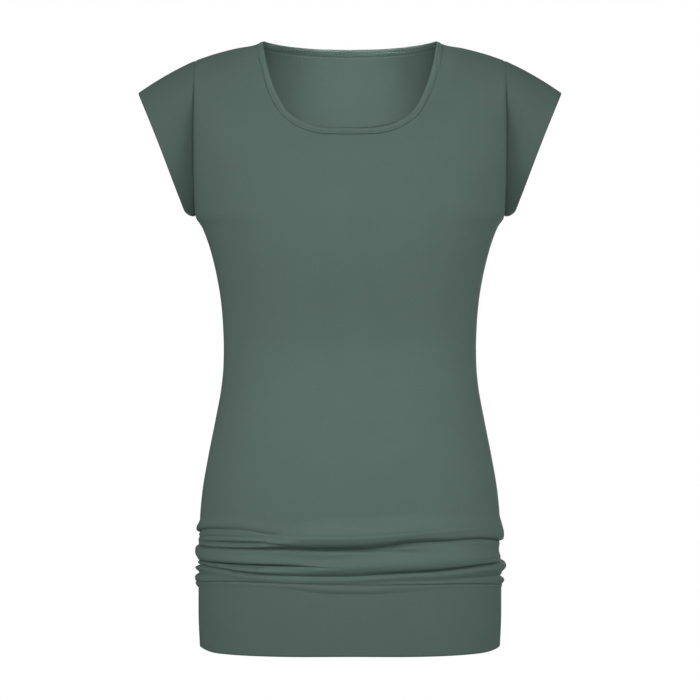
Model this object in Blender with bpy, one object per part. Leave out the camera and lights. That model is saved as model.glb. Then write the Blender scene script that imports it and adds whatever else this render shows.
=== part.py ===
# Yoga top in plain jersey: front, back, two cap sleeves, a neck binding and a deep hem band in
# two halves. It keeps the form it has when it is worn, with nothing inside it.
# Metres, +Z up. X runs across the shoulders, -Y is the front. The origin lies between the
# shoulders, at the height where the garment hangs from them.

import math

import bmesh
import bpy
import numpy as np

MM = 0.001

# Driving sizes, in millimetres. A drop is measured down from the top of the shoulders.
SEAM_GAP = 0.3
PANEL_WALL = 1.5
BAND_WALL = 2.0
BINDING_WALL = 2.2
BINDING_WIDTH = 7.5
ARMHOLE_X = 169.5
UNDERARM_DROP = 191.0
HEM_DROP = 663.5
SQUARENESS = 2.7

# The armhole ring: how far it reaches forward and back of the shoulder line, and how far the
# panel's edge rolls in to the sleeve seam there.
ARMHOLE_FRONT = 55.0
ARMHOLE_BACK = 50.0
ARMHOLE_ROUND = 0.48
ROLL_IN = 0.19
ROLL_RADIUS = 9.0
ROLL_FROM_DROP = 45.0
ROLL_FULL_DROP = 115.0

# The top of the front and the back rounds over to the shoulder seam from this drop up.
SHOULDER_ROUND_DROP = 120.0
SHOULDER_ROUND_POWER = 1.7

# The cuff is an oval whose plane runs along Y. Its ends, as distance from the middle and drop,
# its reach forward and back, and how far its front and back bow in to the body.
CUFF_TOP = (232.2, 55.6)
CUFF_BOTTOM = (181.5, 186.5)
CUFF_FRONT = 49.0
CUFF_BACK = 47.0
CUFF_BOW = 2.5
SLEEVE_FULLNESS = 2.0

# Sections of the body, one a row. The half width is used below the underarm.
SECTIONS = (
    # drop, half width, front depth, back depth
    (0.0, 169.5, 60.0, 62.0),
    (40.0, 169.5, 75.0, 76.0),
    (75.0, 169.5, 87.0, 84.0),
    (108.0, 169.5, 96.0, 89.0),
    (150.0, 169.5, 106.0, 93.0),
    (191.0, 169.5, 111.0, 94.0),
    (204.0, 162.0, 111.5, 93.5),
    (217.0, 156.8, 111.5, 92.5),
    (230.0, 152.6, 111.0, 91.0),
    (257.0, 146.1, 108.0, 87.5),
    (283.0, 141.7, 104.0, 83.5),
    (310.0, 139.3, 99.5, 80.0),
    (336.0, 138.4, 97.0, 79.0),
    (356.0, 138.8, 97.5, 80.5),
    (376.0, 140.6, 99.0, 84.0),
    (415.0, 147.5, 103.5, 92.0),
    (455.0, 155.4, 108.0, 100.0),
    (494.0, 161.9, 111.0, 105.5),
    (521.0, 164.3, 112.0, 107.5),
    (600.0, 166.0, 112.5, 108.0),
    (623.0, 166.0, 112.5, 107.5),
    (663.5, 164.5, 112.0, 106.0),
)

# Where the cloth rounds over at the top: the shoulder seam, and its run on across the neck.
RIDGE = (
    # distance from the middle, drop
    (0.0, -44.0),
    (50.0, -37.0),
    (80.0, -20.0),
    (95.0, -5.0),
    (102.7, 1.6),
    (124.0, 6.0),
    (148.3, 12.6),
    (169.5, 20.0),
)

# The neck seam, from the shoulder seam to the middle.
FRONT_NECK = (
    # distance from the middle, drop
    (102.7, 1.6),
    (97.4, 28.4),
    (91.3, 51.1),
    (83.7, 69.5),
    (74.8, 84.5),
    (63.3, 95.0),
    (46.1, 103.9),
    (26.0, 107.8),
    (0.0, 108.5),
)
BACK_NECK = (
    # distance from the middle, drop
    (102.7, 1.6),
    (97.0, 4.5),
    (86.0, 7.5),
    (62.0, 10.0),
    (32.0, 11.0),
    (0.0, 11.0),
)

# Folds above the hem band, top to bottom. Each has the drop of its crease and how far the
# cloth rolls out over and under it, at eight places round the body: left side, front left,
# front middle, front right, right side, back right, back middle, back left.
FOLDS = (
    {
        "name": "upper",
        "drop": (540, 532, 528, 522, 517, 520, 528, 536),
        "over": (4.6, 2.0, 0.5, 0.2, 0.0, 1.0, 2.5, 3.8),
        "under": (0.8, 0.4, 0.2, 0.0, 0.0, 0.3, 0.6, 0.8),
    },
    {
        "name": "main",
        "drop": (552, 549, 549, 540, 547, 546, 544, 549),
        "over": (1.0, 3.5, 4.5, 4.0, 4.2, 4.0, 4.5, 3.0),
        "under": (5.2, 2.5, 1.5, 1.0, 0.0, 1.5, 2.5, 4.0),
    },
    {
        "name": "second",
        "drop": (572, 567, 567, 556, 559, 560, 564, 569),
        "over": (0.9, 3.0, 1.5, 0.0, 0.0, 0.2, 1.0, 2.5),
        "under": (4.5, 1.5, 0.3, 0.0, 0.0, 0.2, 0.8, 2.5),
    },
    {
        "name": "third",
        "drop": (582, 575.5, 578, 572, 571, 572, 577, 581),
        "over": (0.5, 1.5, 3.0, 4.0, 0.5, 2.0, 3.5, 1.5),
        "under": (2.5, 1.0, 1.0, 2.0, 5.8, 4.0, 2.0, 2.0),
    },
    {
        "name": "band",
        "drop": (600, 591.5, 594.5, 594, 602, 599, 595, 598),
        "over": (5.0, 1.5, 1.5, 1.5, 3.8, 2.5, 2.0, 4.0),
        "under": (0.8, 0.0, 0.0, 0.0, 0.3, 0.0, 0.0, 0.5),
    },
)
BAND_SEAM_DROP = (592, 585.5, 587.5, 588, 595, 591, 588, 590)
PLACES = 8
FIRST_ROLL = 15.0
LAST_ROLL = 10.0
LONGEST_OVER = 27.0
LONGEST_UNDER = 14.0
ROLL_SHARE = 0.9
ROLL_RISE = 0.08
ROLL_PLATEAU = 0.3
CREASE_DEPTH = 2.2
CREASE_WIDTH = 1.8
CREASE_FULL_ROLL = 4.0
SAG_SHARE = 0.35

# Spacing of the points that the walls are made through.
EDGE_COLUMNS = (3.0, 9.0)
SHOULDER_COLUMNS = (166.5, 160.5, 131.0)
NECK_STEPS = 10
ABOVE_CREASE = 2.5
BELOW_CREASE = 2.0
OVER_TOP_FOLD = (3.0, 8.0, 15.0)
PLAIN_DROPS = (495, 465, 430, 395, 360, 325, 290, 255, 225, 205)
SHOULDER_ROWS = (0, 0.15, 0.3, 0.44, 0.56, 0.675, 0.775, 0.86, 0.92, 0.965, 0.99, 1)
BAND_DROPS = (632.0, HEM_DROP)
SLEEVE_STEPS = 32
SLEEVE_ROWS = (0, 0.1, 0.3, 0.55, 0.8, 1)
BINDING_ROWS = (0, 0.25, 0.75, 1)
SHARP_ANGLE = math.radians(50)

# Fine points that even spacings are measured on, and the steps and limits of the slopes.
FINE_POINTS = 1201
SLOPE_STEP = 0.05
BELOW_RIDGE = 0.6
MOST_FILLED = 0.97
NEAR_SHOULDER = 1.0
TINY = 1e-6
NECK_MIDDLE = (0.0, -20.0, 10.0)

CLOTH_COLOUR = (0.0976, 0.150, 0.130, 1)
BINDING_COLOUR = (0.090, 0.140, 0.121, 1)
CLOTH_ROUGHNESS = 0.85


def smooth_curve(points):
    """A cubic through (place, value) rows that never overshoots them."""
    place, value = np.array(points, float).T
    step = np.diff(place)
    rise = np.diff(value) / step
    slope = np.concatenate([rise[:1], np.zeros(len(rise) - 1), rise[-1:]])
    for i in range(1, len(rise)):
        if rise[i - 1] * rise[i] > 0:
            near = 2 * step[i] + step[i - 1]
            far = step[i] + 2 * step[i - 1]
            slope[i] = (near + far) / (near / rise[i - 1] + far / rise[i])

    def read(at):
        at = np.clip(at, place[0], place[-1])
        i = np.clip(np.searchsorted(place, at) - 1, 0, len(step) - 1)
        t = (at - place[i]) / step[i]
        return (
            value[i] * (1 + 2 * t) * (1 - t) ** 2
            + slope[i] * step[i] * t * (1 - t) ** 2
            + value[i + 1] * t**2 * (3 - 2 * t)
            + slope[i + 1] * step[i] * t**2 * (t - 1)
        )

    return read


def round_curve(values):
    """A closed smooth curve through one value at each place round the body."""
    values = np.array(values, float)

    def read(place):
        whole = np.floor(place).astype(int)
        t = place - whole
        before, here, after, later = (values[(whole + k) % PLACES] for k in (-1, 0, 1, 2))
        return 0.5 * (
            2 * here
            + (after - before) * t
            + (2 * before - 5 * here + 4 * after - later) * t**2
            + (3 * here - before - 3 * after + later) * t**3
        )

    return read


half_width = smooth_curve([(row[0], row[1]) for row in SECTIONS])
depths = {
    -1: smooth_curve([(row[0], row[2]) for row in SECTIONS]),
    1: smooth_curve([(row[0], row[3]) for row in SECTIONS]),
}
armhole_reach = {-1: ARMHOLE_FRONT, 1: ARMHOLE_BACK}
ridge_drop = smooth_curve(RIDGE)
folds = [{key: round_curve(fold[key]) for key in ("drop", "over", "under")} for fold in FOLDS]
band_seam_drop = round_curve(BAND_SEAM_DROP)
SHOULDER_DROP = float(ridge_drop(ARMHOLE_X))
ARMHOLE_MIDDLE = (SHOULDER_DROP + UNDERARM_DROP) / 2
ARMHOLE_HALF = (UNDERARM_DROP - SHOULDER_DROP) / 2


def smooth_step(start, end, at):
    t = np.clip((at - start) / (end - start), 0, 1)
    return t * t * (3 - 2 * t)


def unit(vectors):
    return vectors / np.linalg.norm(vectors, axis=-1, keepdims=True)


def side_curve(share):
    """Across and depth of a body section as shares of its sizes, evenly spaced along it."""
    angle = np.linspace(-math.pi / 2, math.pi / 2, FINE_POINTS)
    across = np.sign(angle) * np.abs(np.sin(angle)) ** (2 / SQUARENESS)
    depth = np.abs(np.cos(angle)) ** (2 / SQUARENESS)
    length = np.hypot(np.diff(across) * half_width(HEM_DROP), np.diff(depth) * depths[-1](HEM_DROP))
    length = np.concatenate([[0], np.cumsum(length)])
    wanted = (np.asarray(share) + 1) / 2 * length[-1]
    return np.interp(wanted, length, across), np.interp(wanted, length, depth)


def place_round(side, share):
    """Where a share across a panel, -1 at the left to 1 at the right, lies round the body."""
    return 2 + 2 * share if side < 0 else 6 - 2 * share


def roll(share):
    """Form of rolled cloth: up fast beside its crease, level, then away to nothing."""
    share = np.clip(share, 0, 1)
    return (1 - np.exp(-share / ROLL_RISE)) * (1 - smooth_step(ROLL_PLATEAU, 1, share))


def fold_push(place, drop):
    """How far the folds push the cloth out and let it sag."""
    out = np.zeros_like(drop)
    sag = np.zeros_like(drop)
    levels = [fold["drop"](place) for fold in folds]
    for i, fold in enumerate(folds):
        room_over = levels[i] - levels[i - 1] if i else FIRST_ROLL
        room_under = levels[i + 1] - levels[i] if i + 1 < len(folds) else LAST_ROLL
        length_over = np.minimum(room_over * ROLL_SHARE, LONGEST_OVER)
        length_under = np.minimum(room_under * ROLL_SHARE, LONGEST_UNDER)
        over_size = np.maximum(fold["over"](place), 0)
        under_size = np.maximum(fold["under"](place), 0)
        below = drop - levels[i]
        over = over_size * roll(-below / length_over)
        under = under_size * roll(below / length_under)
        strength = np.minimum(1, (over_size + under_size) / CREASE_FULL_ROLL)
        out += over + under - CREASE_DEPTH * strength * np.exp(-((below / CREASE_WIDTH) ** 2))
        sag += SAG_SHARE * over
    return out, sag


def body_points(side, share, drop):
    """Points of the body below the underarm."""
    across, depth = side_curve(share)
    width = half_width(drop)
    deep = depths[side](drop)
    out, sag = fold_push(place_round(side, share), drop)
    facing = unit(
        np.stack(
            [
                np.sign(across) * np.abs(across) ** (SQUARENESS - 1) / width,
                side * depth ** (SQUARENESS - 1) / deep,
            ],
            axis=-1,
        )
    )
    x = width * across + out * facing[..., 0]
    y = side * deep * depth + out * facing[..., 1]
    return np.stack([x, y, -drop - sag], axis=-1)


def armhole_outer(side, drop):
    """Depth of the armhole before the panel's edge rolls in."""
    height = np.clip((drop - ARMHOLE_MIDDLE) / ARMHOLE_HALF, -1, 1)
    return armhole_reach[side] * (1 - height**2) ** ARMHOLE_ROUND


def roll_in(drop):
    return ROLL_IN * smooth_step(ROLL_FROM_DROP, ROLL_FULL_DROP, drop)


def armhole_depth(side, drop):
    return armhole_outer(side, drop) * (1 - roll_in(drop))


def shoulder_round(x, drop):
    """Share of the depth that is left as the cloth rounds over to the shoulder seam."""
    rise = (SHOULDER_ROUND_DROP - drop) / (SHOULDER_ROUND_DROP - ridge_drop(np.abs(x)))
    return np.sqrt(1 - np.clip(rise, 0, 1) ** SHOULDER_ROUND_POWER)


def chest_depth(side, x, drop):
    """Depth of the front or the back above the underarm."""
    deep = depths[side](drop)
    level = np.maximum(drop, SHOULDER_DROP + NEAR_SHOULDER)
    at_armhole = depths[side](level) * shoulder_round(ARMHOLE_X, level)
    filled = np.clip(armhole_outer(side, level) / at_armhole, 0, MOST_FILLED)
    width = ARMHOLE_X / (1 - filled**SQUARENESS) ** (1 / SQUARENESS)
    across = np.clip(np.abs(x) / width, 0, 1)
    depth = deep * (1 - across**SQUARENESS) ** (1 / SQUARENESS) * shoulder_round(x, drop)
    near_edge = np.clip(1 - (ARMHOLE_X - np.abs(x)) / ROLL_RADIUS, 0, 1)
    rolled = armhole_outer(side, drop) * roll_in(drop) * (1 - np.sqrt(1 - near_edge**2))
    return depth - rolled


def neck_points(side):
    """The neck seam from the left shoulder seam to the right one, evenly spaced."""
    rows = np.array(FRONT_NECK if side < 0 else BACK_NECK)
    knots = np.arange(len(rows))
    fine = np.linspace(0, len(rows) - 1, FINE_POINTS)
    x = smooth_curve(list(zip(knots, rows[:, 0])))(fine)
    drop = smooth_curve(list(zip(knots, rows[:, 1])))(fine)
    y = side * chest_depth(side, x, drop)
    gaps = np.linalg.norm(np.diff(np.stack([x, y, drop]), axis=1), axis=0)
    length = np.concatenate([[0], np.cumsum(gaps)])
    wanted = np.linspace(0, length[-1], NECK_STEPS + 1)
    half = np.stack([np.interp(wanted, length, x), np.interp(wanted, length, drop)], axis=1)
    return np.concatenate([half * (-1, 1), half[-2::-1]])


def top_edge(side):
    """Across and drop of a panel's top edge: shoulder seam, neck seam, shoulder seam."""
    shoulder_x = np.array((ARMHOLE_X, *SHOULDER_COLUMNS))
    shoulder = np.stack([shoulder_x, ridge_drop(shoulder_x)], axis=1)
    return np.concatenate([shoulder * (-1, 1), neck_points(side), shoulder[::-1]])


def column_shares():
    """Places of a panel's columns across the body below the underarm."""
    count = len(top_edge(-1)) // 2
    fine = np.linspace(-1, 0, FINE_POINTS)
    x, y = side_curve(fine)
    gaps = np.hypot(np.diff(x) * ARMHOLE_X, np.diff(y) * depths[-1](UNDERARM_DROP))
    length = np.concatenate([[0], np.cumsum(gaps)])
    plain = np.linspace(EDGE_COLUMNS[-1], length[-1], count - len(EDGE_COLUMNS) + 1)
    half = np.interp(np.concatenate([[0], EDGE_COLUMNS[:-1], plain]), length, fine)
    return np.concatenate([half, -half[-2::-1]])


def panel_drops(side, share):
    """The drops of a panel's rows from the band seam up to the underarm."""
    place = place_round(side, share)
    seam = band_seam_drop(place) - SEAM_GAP / 2
    creases = [fold["drop"](place) for fold in reversed(folds[:-1])]
    rows = [seam, seam - ABOVE_CREASE, (seam + creases[0]) / 2, creases[0] + BELOW_CREASE]
    for lower, upper in zip(creases, creases[1:]):
        rows += [lower, lower - ABOVE_CREASE, (lower + upper) / 2, upper + BELOW_CREASE]
    rows += [creases[-1]] + [creases[-1] - rise for rise in OVER_TOP_FOLD]
    rows += [np.full_like(share, drop) for drop in PLAIN_DROPS]
    return rows


def band_drops(side, share):
    place = place_round(side, share)
    seam = band_seam_drop(place) + SEAM_GAP / 2
    crease = folds[-1]["drop"](place)
    rows = [seam, seam + BELOW_CREASE, crease - BELOW_CREASE, crease]
    rows += [crease + ABOVE_CREASE, crease + LAST_ROLL]
    return rows + [np.full_like(share, drop) for drop in BAND_DROPS]


def grid_facing(points, closed=False):
    """Directions out of a sheet of points, from its neighbours."""
    if closed:
        points = np.concatenate([points[:, -1:], points, points[:, :1]], axis=1)
    along = np.gradient(points, axis=0)
    across = np.gradient(points, axis=1)
    facing = unit(np.cross(across, along))
    return facing[:, 1:-1] if closed else facing


def seam_facing(facing, axis):
    """The same directions with no part across a seam, so that both walls end in one plane."""
    facing = facing.copy()
    facing[..., axis] = 0
    return unit(facing)


def armhole_facing(side, drop):
    """Direction out of the armhole ring in its own plane."""
    lower = np.minimum(drop + SLOPE_STEP, UNDERARM_DROP)
    upper = np.maximum(drop - SLOPE_STEP, SHOULDER_DROP)
    slope = (armhole_depth(side, lower) - armhole_depth(side, upper)) / (lower - upper)
    return unit(np.stack([np.zeros_like(drop), side * np.ones_like(drop), slope], axis=-1))


def neck_frame(side):
    """Points of the neck seam, with the directions out of the cloth and into the opening."""
    x, drop = neck_points(side).T
    step = SLOPE_STEP
    under = np.maximum(drop, ridge_drop(np.abs(x)) + BELOW_RIDGE)
    depth_x = chest_depth(side, x + step, under) - chest_depth(side, x - step, under)
    depth_z = chest_depth(side, x, under - step) - chest_depth(side, x, under + step)
    slope = np.stack([-depth_x, np.full_like(x, side * 2 * step), -depth_z], axis=1)
    points = np.stack([x, side * chest_depth(side, x, drop), -drop], axis=1)
    facing = unit(slope)
    facing[[0, -1]] = seam_facing(facing[[0, -1]], 1)
    along = np.gradient(points, axis=0)
    along[[0, -1], :] = (0, 1, 0)
    along = unit(along)
    facing = unit(facing - np.sum(facing * along, axis=1, keepdims=True) * along)
    inward = unit(np.cross(facing, along))
    inward *= np.sign(np.sum(inward * (NECK_MIDDLE - points), axis=1, keepdims=True))
    return points, facing, inward


def add_wall(name, outer, facing, thickness, material, closed=False):
    """A closed wall between a sheet of points and the same sheet moved in."""
    inner = outer - facing * thickness
    rows, columns = outer.shape[:2]
    mesh = bmesh.new()
    skins = [
        [[mesh.verts.new(point * MM) for point in row] for row in sheet] for sheet in (outer, inner)
    ]
    around = range(columns if closed else columns - 1)
    for skin in skins:
        for i in range(rows - 1):
            for j in around:
                k = (j + 1) % columns
                mesh.faces.new((skin[i][j], skin[i][k], skin[i + 1][k], skin[i + 1][j]))
    rims = [[(0, j) for j in range(columns)], [(rows - 1, j) for j in range(columns)]]
    if closed:
        rims = [rim + rim[:1] for rim in rims]
    else:
        rims += [[(i, 0) for i in range(rows)], [(i, columns - 1) for i in range(rows)]]
    for rim in rims:
        for (i, j), (k, m) in zip(rim, rim[1:]):
            mesh.faces.new((skins[0][i][j], skins[0][k][m], skins[1][k][m], skins[1][i][j]))
    bmesh.ops.recalc_face_normals(mesh, faces=mesh.faces)
    data = bpy.data.meshes.new(name)
    mesh.to_mesh(data)
    mesh.free()
    data.materials.append(material)
    data.shade_smooth()
    data.set_sharp_from_angle(angle=SHARP_ANGLE)
    made = bpy.data.objects.new(name, data)
    bpy.context.scene.collection.objects.link(made)
    return made


def cloth(name, colour):
    material = bpy.data.materials.new(name)
    material.use_nodes = True
    shader = material.node_tree.nodes["Principled BSDF"]
    shader.inputs["Base Color"].default_value = colour
    shader.inputs["Roughness"].default_value = CLOTH_ROUGHNESS
    shader.inputs["Metallic"].default_value = 0
    return material


def add_panel(name, side, material):
    """The front or the back, from the band seam to the shoulders."""
    share = column_shares()
    lower = [body_points(side, share, drop) for drop in panel_drops(side, share)]
    start = side_curve(share)[0] * ARMHOLE_X
    edge = top_edge(side)
    upper = []
    for rise in SHOULDER_ROWS:
        x = start + (edge[:, 0] - start) * rise
        drop = UNDERARM_DROP + (edge[:, 1] - UNDERARM_DROP) * rise
        upper.append(np.stack([x, side * chest_depth(side, x, drop), -drop], axis=1))
    points = np.array(lower + upper)
    facing = grid_facing(points) * -side
    bottom = len(lower)
    neck = slice(len(SHOULDER_COLUMNS) + 1, -len(SHOULDER_COLUMNS) - 1)
    facing[0] = seam_facing(facing[0], 2)
    facing[: bottom + 1, [0, -1]] = seam_facing(facing[: bottom + 1, [0, -1]], 1)
    for column in (0, -1):
        facing[bottom:, column] = armhole_facing(side, -points[bottom:, column, 2])
        facing[bottom, column] = (np.sign(points[bottom, column, 0]), 0, -1)
    facing[-1] = np.where(
        np.abs(points[-1, :, 1:2]) < TINY, seam_facing(facing[-1], 1), facing[-1]
    )
    facing[-1, neck] = neck_frame(side)[1]
    facing[-1, [0, -1]] = (0, 0, 1)
    points[..., 1] += side * SEAM_GAP / 2
    add_wall(name, points, facing, PANEL_WALL, material)


def add_band(name, side, material):
    """Half of the hem band, from its seam to the hem."""
    share = column_shares()
    points = np.array([body_points(side, share, drop) for drop in band_drops(side, share)])
    facing = grid_facing(points) * side
    facing[[0, -1]] = seam_facing(facing[[0, -1]], 2)
    facing[:, [0, -1]] = seam_facing(facing[:, [0, -1]], 1)
    points[..., 1] += side * SEAM_GAP / 2
    add_wall(name, points, facing, BAND_WALL, material)


def add_sleeve(name, hand, material):
    """A cap sleeve from the armhole ring to the cuff. Hand is -1 at the left, 1 at the right."""
    turn = np.linspace(0, 2 * math.pi, SLEEVE_STEPS, endpoint=False)
    up, out = np.cos(turn), np.sin(turn)
    side = np.where(out >= 0, -1, 1)
    drop = ARMHOLE_MIDDLE - ARMHOLE_HALF * up
    depth = np.where(side < 0, armhole_depth(-1, drop), armhole_depth(1, drop))
    armhole = np.stack([np.full_like(turn, ARMHOLE_X + SEAM_GAP), side * depth, -drop], axis=1)
    top, bottom = (np.array([end[0], 0, -end[1]]) for end in (CUFF_TOP, CUFF_BOTTOM))
    reach = np.where(side < 0, CUFF_FRONT, CUFF_BACK)
    cuff = (top + bottom) / 2 + up[:, None] * (top - bottom) / 2
    cuff[:, 0] -= CUFF_BOW * out**2
    cuff[:, 1] = side * reach * np.abs(out) ** (2 * ARMHOLE_ROUND)
    away = unit(np.stack([np.zeros_like(turn), -out, up], axis=1))
    points = np.array(
        [
            armhole + (cuff - armhole) * rise + away * SLEEVE_FULLNESS * 4 * rise * (1 - rise)
            for rise in SLEEVE_ROWS
        ]
    )
    facing = grid_facing(points, closed=True)
    facing *= np.sign(np.sum(facing * away, axis=-1, keepdims=True))
    facing[0] = seam_facing(facing[0], 0)
    points[..., 0] *= hand
    facing[..., 0] *= hand
    add_wall(name, points, facing, PANEL_WALL, material, closed=True)


def add_binding(name, material):
    """The strip round the neck, which carries the cloth's curve on past the neck seam."""
    front, back = neck_frame(-1), neck_frame(1)
    seam, facing, inward = (
        np.concatenate([one, other[-2:0:-1]]) for one, other in zip(front, back)
    )
    inward = unit(inward + np.roll(inward, 1, axis=0) + np.roll(inward, -1, axis=0))
    points = np.array(
        [seam + inward * (SEAM_GAP + BINDING_WIDTH * rise) for rise in BINDING_ROWS]
    )
    facing = np.array([facing] * len(BINDING_ROWS))
    add_wall(name, points, facing, BINDING_WALL, material, closed=True)


def clear_scene():
    for old in list(bpy.data.objects):
        bpy.data.objects.remove(old)


def main():
    clear_scene()
    jersey = cloth("jersey", CLOTH_COLOUR)
    folded = cloth("folded_jersey", BINDING_COLOUR)
    add_panel("front", -1, jersey)
    add_panel("back", 1, jersey)
    add_sleeve("sleeve_left", -1, jersey)
    add_sleeve("sleeve_right", 1, jersey)
    add_binding("neck_binding", folded)
    add_band("hem_band_front", -1, folded)
    add_band("hem_band_back", 1, folded)


main()
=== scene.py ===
import math

import bmesh
import bpy
import numpy as np
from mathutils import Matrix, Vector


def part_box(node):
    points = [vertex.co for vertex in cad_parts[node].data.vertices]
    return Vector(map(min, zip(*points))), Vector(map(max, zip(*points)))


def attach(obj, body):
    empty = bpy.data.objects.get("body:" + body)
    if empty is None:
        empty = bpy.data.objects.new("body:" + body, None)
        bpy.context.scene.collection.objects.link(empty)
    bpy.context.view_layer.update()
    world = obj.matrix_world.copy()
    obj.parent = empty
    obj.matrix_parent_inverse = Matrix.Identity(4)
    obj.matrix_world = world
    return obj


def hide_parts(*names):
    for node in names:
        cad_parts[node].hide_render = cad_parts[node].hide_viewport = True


# Sizes are in millimetres unless a note says otherwise. A drop is measured down from the tops
# of the shoulders, X runs across them, -Y is the front and +Z is up.
mm = 0.001
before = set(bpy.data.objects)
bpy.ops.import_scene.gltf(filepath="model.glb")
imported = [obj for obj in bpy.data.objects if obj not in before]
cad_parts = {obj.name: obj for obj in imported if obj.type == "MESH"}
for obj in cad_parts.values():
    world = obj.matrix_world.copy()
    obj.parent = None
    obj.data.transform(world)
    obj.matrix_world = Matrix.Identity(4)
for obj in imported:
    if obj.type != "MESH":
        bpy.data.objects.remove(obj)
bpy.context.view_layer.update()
print("frame loaded:", ", ".join(sorted(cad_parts)))

body = {
    "hemDrop": round(-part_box("hem_band_front")[0].z / mm, 2),
    "underarmDrop": 191.0,
    "armholeX": 169.5,  # the armhole seams lie in planes at this distance from the middle
    "squareness": 2.7,  # 2 is an oval section, more is squarer
    "seamGap": 0.1,
    "armholeFront": 55.0,
    "armholeBack": 50.0,
    "armholeRound": 0.48,  # 0.5 is an oval armhole
    "armholeMost": 0.97,  # share of the body's depth that the armhole takes at most
    "rollIn": 0.19,  # how far the panel's edge turns in to the sleeve seam
    "rollRadius": 5.0,
    "rollFromDrop": 45.0,
    "rollFullDrop": 115.0,
    "shoulderRoundDrop": 120.0,  # the cloth rounds over to the shoulder from here up
    "shoulderRoundPower": 1.7,
    # drop, half width, front depth, back depth
    "sections": (
        (0, 169.5, 60, 62), (40, 169.5, 75, 76), (75, 169.5, 87, 84), (108, 169.5, 96, 89),
        (150, 169.5, 106, 93), (191, 169.5, 111, 94), (204, 162, 111.5, 93.5),
        (217, 156.8, 111.5, 92.5), (230, 152.6, 111, 91), (257, 146.1, 108, 87.5),
        (283, 141.7, 104, 83.5), (310, 139.3, 99.5, 80), (336, 138.4, 97, 79),
        (356, 138.8, 97.5, 80.5), (376, 140.6, 99, 84), (415, 147.5, 103.5, 92),
        (455, 155.4, 108, 100), (494, 161.9, 111, 105.5), (521, 164.3, 112, 107.5),
        (600, 166, 112.5, 108), (623, 166, 112.5, 107.5), (663.5, 164.5, 112, 106),
    ),
    # distance from the middle, drop
    "ridge": (
        (0, -44), (50, -37), (80, -20), (95, -5), (102.7, 2.3), (124, 6.5), (148.3, 12.8),
        (169.5, 20),
    ),
    "frontNeck": (
        (102.7, 2.3), (97.4, 28.4), (91.3, 51.1), (83.7, 69.5), (74.8, 84.5), (63.3, 95),
        (46.1, 103.9), (26, 107.8), (0, 108.5),
    ),
    "backNeck": (
        (102.7, 2.3), (97, 3.2), (86, 4.7), (74, 6), (62, 7.2), (48, 8.3), (32, 9.2), (0, 9.7),
    ),
}


def smoothCurve(rows):
    # a cubic through (place, value) rows that never overshoots them
    place, value = np.array(rows, float).T
    step = np.diff(place)
    rise = np.diff(value) / step
    slope = np.concatenate([rise[:1], np.zeros(len(rise) - 1), rise[-1:]])
    for i in range(1, len(rise)):
        if rise[i - 1] * rise[i] > 0:
            near = 2 * step[i] + step[i - 1]
            far = step[i] + 2 * step[i - 1]
            slope[i] = (near + far) / (near / rise[i - 1] + far / rise[i])

    def read(at):
        at = np.clip(at, place[0], place[-1])
        i = np.clip(np.searchsorted(place, at) - 1, 0, len(step) - 1)
        t = (at - place[i]) / step[i]
        return (
            value[i] * (1 + 2 * t) * (1 - t) ** 2
            + slope[i] * step[i] * t * (1 - t) ** 2
            + value[i + 1] * t**2 * (3 - 2 * t)
            + slope[i + 1] * step[i] * t**2 * (t - 1)
        )

    return read


places = 8  # round the body: 0 left side, 2 front middle, 4 right side, 6 back middle


def roundCurve(rows):
    # the same, closed round the body; a bare number is the same all round
    if not isinstance(rows, tuple):
        return lambda place: np.full_like(place, float(rows))
    before = [(place - places, value) for place, value in rows[-2:]]
    after = [(place + places, value) for place, value in rows[:2]]
    read = smoothCurve([*before, *rows, *after])
    return lambda place: read(np.mod(place, places))


def smoothStep(start, end, at):
    t = np.clip((at - start) / (end - start), 0, 1)
    return t * t * (3 - 2 * t)


def unit(vectors):
    return vectors / np.maximum(np.linalg.norm(vectors, axis=-1, keepdims=True), 1e-9)


def lengthsAlong(points, axis):
    # how far each point lies along its line, with 0 at the first
    gaps = np.linalg.norm(np.diff(points, axis=axis), axis=-1)
    start = np.zeros_like(np.take(gaps, [0], axis=axis))
    return np.concatenate([start, np.cumsum(gaps, axis=axis)], axis=axis)


halfWidth = smoothCurve([(row[0], row[1]) for row in body["sections"]])
depths = {
    -1: smoothCurve([(row[0], row[2]) for row in body["sections"]]),
    1: smoothCurve([(row[0], row[3]) for row in body["sections"]]),
}
armholeReach = {-1: body["armholeFront"], 1: body["armholeBack"]}
ridgeDrop = smoothCurve(body["ridge"])
square = body["squareness"]
armholeX = body["armholeX"]
underarmDrop = body["underarmDrop"]
neckCorner = body["frontNeck"][0][0]
shoulderDrop = float(ridgeDrop(armholeX))
armholeMiddle = (shoulderDrop + underarmDrop) / 2
armholeHalf = (underarmDrop - shoulderDrop) / 2

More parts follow.
